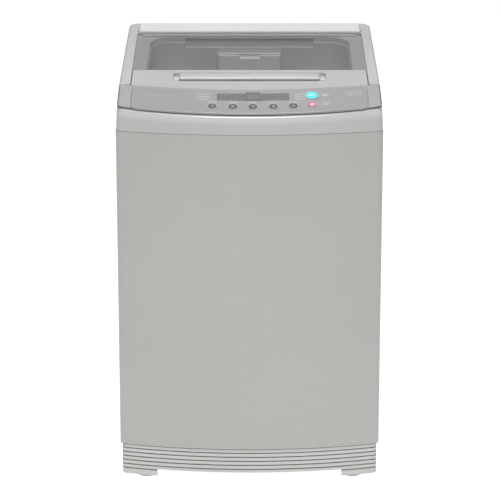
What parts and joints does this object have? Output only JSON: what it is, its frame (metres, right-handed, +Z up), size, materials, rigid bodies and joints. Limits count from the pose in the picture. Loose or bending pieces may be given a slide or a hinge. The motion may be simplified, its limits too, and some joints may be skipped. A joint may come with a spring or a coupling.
{
  "type": "top load washing machine",
  "caption": "Free-standing top load washing machine with bowed front, sloping control panel, glass lid, sprung tub and spinning perforated basket.",
  "frame": {"origin": "on the floor, under the middle of the machine", "axes": "+X to the user's right when facing the controls, +Y to the back, +Z up"},
  "size_m": [0.54, 0.5799, 0.8697],
  "materials": {
    "silver_paint": "satin, fine metallic",
    "silver_plastic": "satin moulded",
    "base_plastic": "moulded, ribbed",
    "deck_plastic": "semi gloss",
    "panel_film": "satin overlay",
    "smoked_lens": "gloss",
    "bezel_metal": "bright",
    "button_grey": "semi gloss",
    "button_cyan": "lit",
    "button_pink": "lit ring",
    "lid_plastic": "satin",
    "handle_plastic": "gloss",
    "lid_pane": "clear, polished",
    "grey_rubber": "matt",
    "foot_plastic": "matt",
    "white_plastic": "moulded",
    "pulsator_plastic": "satin",
    "grey_pipe": "moulded",
    "galvanised": "spangled zinc",
    "stainless": "brushed",
    "zinc_steel": "plated",
    "clutch_metal": "die cast",
    "motor_metal": "black paint",
    "belt_rubber": "matt",
    "circuit_board": "resist",
    "black_plastic": "moulded"
  },
  "bodies": {
    "housing": {"cabinet": "silver_paint", "rear_panel": "galvanised", "rear_panel_screws": "zinc_steel", "cord_gland": "grey_rubber", "base_frame": "base_plastic", "rear_feet": "foot_plastic", "top_cover": "silver_plastic", "rear_deck_cover": "deck_plastic", "control_panel": "panel_film", "display_lens": "smoked_lens", "button_bezels": "bezel_metal", "display_board": "circuit_board", "control_box": "black_plastic", "lid_switch": "black_plastic", "dispenser_housing": "white_plastic", "inlet_valve": "white_plastic", "inlet_hose": "grey_pipe", "pressure_switch": "white_plastic", "pressure_hose": "grey_rubber", "corner_brackets": "galvanised", "suspension_rods": "zinc_steel", "suspension_springs": "zinc_steel", "drain_bellows": "grey_rubber", "drain_pipe": "grey_pipe"},
    "lid": {"lid_front": "lid_plastic", "lid_handle_bar": "handle_plastic", "lid_glass": "lid_pane", "lid_hinge_rail": "lid_plastic", "lid_bumpers": "grey_rubber"},
    "program_button_cap": {"program_button": "button_grey"},
    "level_button_cap": {"level_button": "button_grey"},
    "rinse_button_cap": {"rinse_button": "button_grey"},
    "spin_button_cap": {"spin_button": "button_grey"},
    "delay_button_cap": {"delay_button": "button_grey"},
    "start_button_cap": {"start_button": "button_cyan"},
    "power_button_cap": {"power_button": "button_pink"},
    "left_foot": {"foot_front_left": "foot_plastic"},
    "right_foot": {"foot_front_right": "foot_plastic"},
    "drawer": {"dispenser_drawer": "white_plastic"},
    "tub": {"spring_cups": "grey_pipe", "outer_tub": "white_plastic", "tub_cover": "white_plastic", "mounting_plate": "galvanised", "clutch_unit": "clutch_metal", "tub_bearing": "zinc_steel", "motor": "motor_metal", "drive_belt": "belt_rubber", "drain_valve": "white_plastic", "drain_actuator": "black_plastic"},
    "spin_basket": {"basket": "stainless", "basket_base": "white_plastic", "balance_ring": "white_plastic", "spin_tube": "stainless", "lint_filter": "white_plastic"},
    "drive": {"drive_pulley": "clutch_metal", "drive_shaft": "stainless", "pulsator": "pulsator_plastic", "pulsator_screw": "stainless"},
    "motor_rotor": {"motor_pulley": "clutch_metal"},
    "plunger": {"valve_plunger": "white_plastic"}
  },
  "joints": [
    {"name": "lid_hinge", "type": "hinge", "parent": "housing", "child": "lid", "pos_m": [0, 0.21733, 0.86004], "axis": [-1, 0, 0], "range_deg": [0, 100]},
    {"name": "program_button_press", "type": "slide", "parent": "housing", "child": "program_button_cap", "axis": [0.0136, 0.3594, -0.9331], "range_m": [0, 0.0012], "stiffness_N_per_m": 1200, "springref_m": -0.0008},
    {"name": "level_button_press", "type": "slide", "parent": "housing", "child": "level_button_cap", "axis": [0.0061, 0.362, -0.9321], "range_m": [0, 0.0012], "stiffness_N_per_m": 1200, "springref_m": -0.0008},
    {"name": "rinse_button_press", "type": "slide", "parent": "housing", "child": "rinse_button_cap", "axis": [-0.0014, 0.3626, -0.9319], "range_m": [0, 0.0012], "stiffness_N_per_m": 1200, "springref_m": -0.0008},
    {"name": "spin_button_press", "type": "slide", "parent": "housing", "child": "spin_button_cap", "axis": [-0.009, 0.3613, -0.9324], "range_m": [0, 0.0012], "stiffness_N_per_m": 1200, "springref_m": -0.0008},
    {"name": "delay_button_press", "type": "slide", "parent": "housing", "child": "delay_button_cap", "axis": [-0.0161, 0.3582, -0.9335], "range_m": [0, 0.0012], "stiffness_N_per_m": 1200, "springref_m": -0.0008},
    {"name": "start_button_press", "type": "slide", "parent": "housing", "child": "start_button_cap", "axis": [-0.0224, 0.3534, -0.9352], "range_m": [0, 0.0012], "stiffness_N_per_m": 1200, "springref_m": -0.0008},
    {"name": "power_button_press", "type": "slide", "parent": "housing", "child": "power_button_cap", "axis": [-0.0225, 0.3534, -0.9352], "range_m": [0, 0.0012], "stiffness_N_per_m": 1200, "springref_m": -0.0008},
    {"name": "left_foot_adjust", "type": "slide", "parent": "housing", "child": "left_foot", "axis": [0, 0, -1], "range_m": [0, 0.01]},
    {"name": "right_foot_adjust", "type": "slide", "parent": "housing", "child": "right_foot", "axis": [0, 0, -1], "range_m": [0, 0.01]},
    {"name": "drawer_slide", "type": "slide", "parent": "housing", "child": "drawer", "axis": [0, -1, 0], "range_m": [0, 0.058]},
    {"name": "tub_bounce", "type": "slide", "parent": "housing", "child": "tub", "axis": [0, 0, 1], "range_m": [-0.022, 0.008], "stiffness_N_per_m": 16000, "springref_m": 0.0156, "deforming": ["suspension_springs", "drain_bellows", "pressure_hose"]},
    {"name": "basket_spin", "type": "hinge", "parent": "tub", "child": "spin_basket", "pos_m": [0, 0, 0.318], "axis": [0, 0, 1], "continuous": true},
    {"name": "pulsator_spin", "type": "hinge", "parent": "tub", "child": "drive", "pos_m": [0, 0, 0.132], "axis": [0, 0, 1], "continuous": true},
    {"name": "motor_spin", "type": "hinge", "parent": "tub", "child": "motor_rotor", "pos_m": [-0.105, 0.1, 0.132], "axis": [0, 0, 1], "continuous": true},
    {"name": "valve_pull", "type": "slide", "parent": "tub", "child": "plunger", "axis": [-1, 0, 0], "range_m": [0, 0.014], "stiffness_N_per_m": 400, "springref_m": -0.01}
  ],
  "couplings": [
    {"joint": "motor_spin", "follows": "pulsator_spin", "ratio": 3.094}
  ]
}
